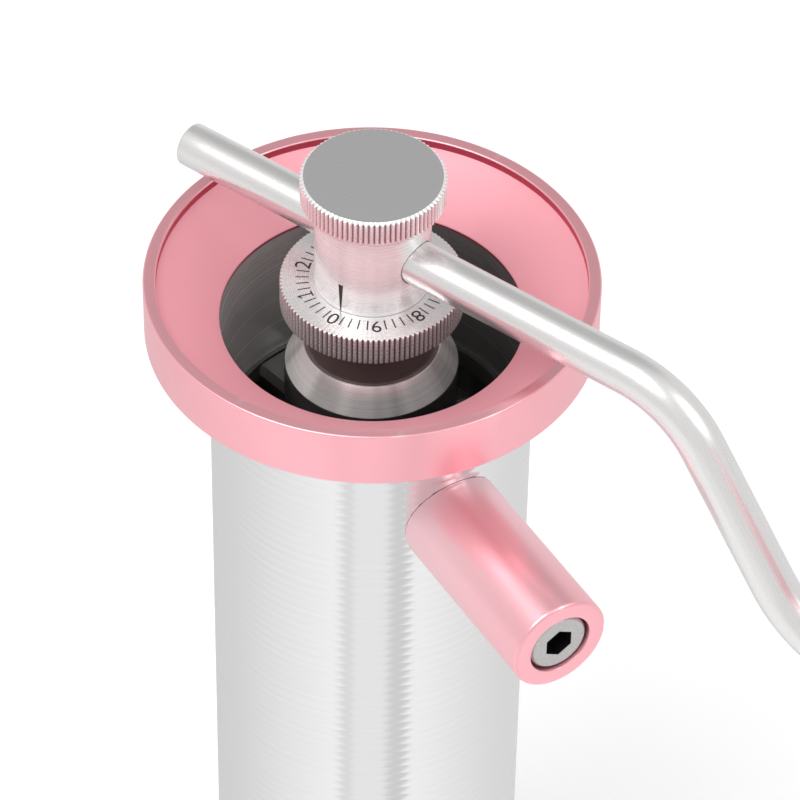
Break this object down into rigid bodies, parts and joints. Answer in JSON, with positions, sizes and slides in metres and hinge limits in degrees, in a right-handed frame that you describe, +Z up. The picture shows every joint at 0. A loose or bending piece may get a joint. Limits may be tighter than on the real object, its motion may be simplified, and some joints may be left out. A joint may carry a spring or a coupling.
{
  "type": "hand crank coffee grinder",
  "caption": "Hand crank coffee grinder: grooved steel body, pink funnel collar and side handle, bent crank through a hub, numbered adjusting dial, conical burrs, catch cup.",
  "frame": {"origin": "centre of the catch cup's flat base, on the grinding axis", "axes": "+Z up along the grinding axis, +X along the side handle, away from the body"},
  "size_m": [0.1912, 0.1101, 0.2086],
  "materials": {
    "pink": "satin anodised pink",
    "turned_steel": "fine turned satin steel",
    "grooved_steel": "turned steel with fine horizontal grooves",
    "polished_rod": "drawn rod, satin polished",
    "dark_neck": "dark polished steel",
    "bearing_steel": "ground bearing steel",
    "burr_steel": "hardened, black oxide worn at the teeth",
    "brass": "machined brass",
    "spring_steel": "spring steel wire",
    "magnet": "nickel plated magnet"
  },
  "bodies": {
    "housing": {"body_tube": "grooved_steel", "collar": "pink", "bearing_bridge": "turned_steel", "cone_cap": "turned_steel", "upper_bearing_outer": "bearing_steel", "lower_bearing_outer": "bearing_steel", "bridge_circlip": "spring_steel", "ring_burr": "burr_steel", "burr_retainer": "turned_steel", "cup_magnets": "magnet", "handle_boss": "turned_steel", "side_handle": "pink", "handle_screw": "turned_steel"},
    "rotor": {"neck_sleeve": "dark_neck", "upper_bearing_inner": "bearing_steel", "lower_bearing_inner": "bearing_steel", "bearing_spacer": "turned_steel", "sleeve_circlip": "spring_steel"},
    "upper_cage": {"upper_bearing_balls": "bearing_steel", "upper_bearing_cage": "brass"},
    "lower_cage": {"lower_bearing_balls": "bearing_steel", "lower_bearing_cage": "brass"},
    "crank": {"drive_shaft": "turned_steel", "hub": "turned_steel", "hub_set_screw": "turned_steel", "clamp_pad": "brass", "inner_burr": "burr_steel", "burr_washer": "turned_steel", "burr_nut": "turned_steel", "preload_spring": "spring_steel"},
    "dial": {"dial": "turned_steel"},
    "clamp": {"clamp_knob": "turned_steel", "clamp_screw": "turned_steel"},
    "arm": {"crank_arm": "polished_rod", "knob_axle": "turned_steel", "knob_washer": "turned_steel"},
    "grip": {"hand_knob": "pink", "lower_knob_bush": "brass", "upper_knob_bush": "brass"},
    "cup": {"catch_cup": "grooved_steel"}
  },
  "joints": [
    {"name": "crank_spin", "type": "hinge", "parent": "housing", "child": "rotor", "pos_m": [0, 0, 0.16], "axis": [0, 0, 1], "continuous": true},
    {"name": "upper_cage_spin", "type": "hinge", "parent": "housing", "child": "upper_cage", "pos_m": [0, 0, 0.161], "axis": [0, 0, 1], "continuous": true},
    {"name": "lower_cage_spin", "type": "hinge", "parent": "housing", "child": "lower_cage", "pos_m": [0, 0, 0.128], "axis": [0, 0, 1], "continuous": true},
    {"name": "dial_turn", "type": "hinge", "parent": "rotor", "child": "dial", "pos_m": [0, 0, 0.182], "axis": [0, 0, 1], "range_deg": [-1080, 0]},
    {"name": "shaft_lift", "type": "slide", "parent": "rotor", "child": "crank", "axis": [0, 0, 1], "range_m": [0, 0.0015], "deforming": ["preload_spring"]},
    {"name": "clamp_turn", "type": "hinge", "parent": "crank", "child": "clamp", "pos_m": [0, 0, 0.2], "axis": [0, 0, 1], "range_deg": [0, 180]},
    {"name": "arm_slide", "type": "slide", "parent": "crank", "child": "arm", "axis": [0.9293, 0.3694, 0], "range_m": [-0.015, 0.028]},
    {"name": "grip_spin", "type": "hinge", "parent": "arm", "child": "grip", "pos_m": [0.13474, 0.05357, 0.18], "axis": [0, 0, 1], "continuous": true},
    {"name": "cup_slide", "type": "slide", "parent": "housing", "child": "cup", "axis": [0, 0, -1], "range_m": [0, 0.04]}
  ],
  "couplings": [
    {"joint": "upper_cage_spin", "follows": "crank_spin", "ratio": 0.41111},
    {"joint": "lower_cage_spin", "follows": "crank_spin", "ratio": 0.41111},
    {"joint": "dial_turn", "follows": "shaft_lift", "rad_per_m": -12566}
  ]
}
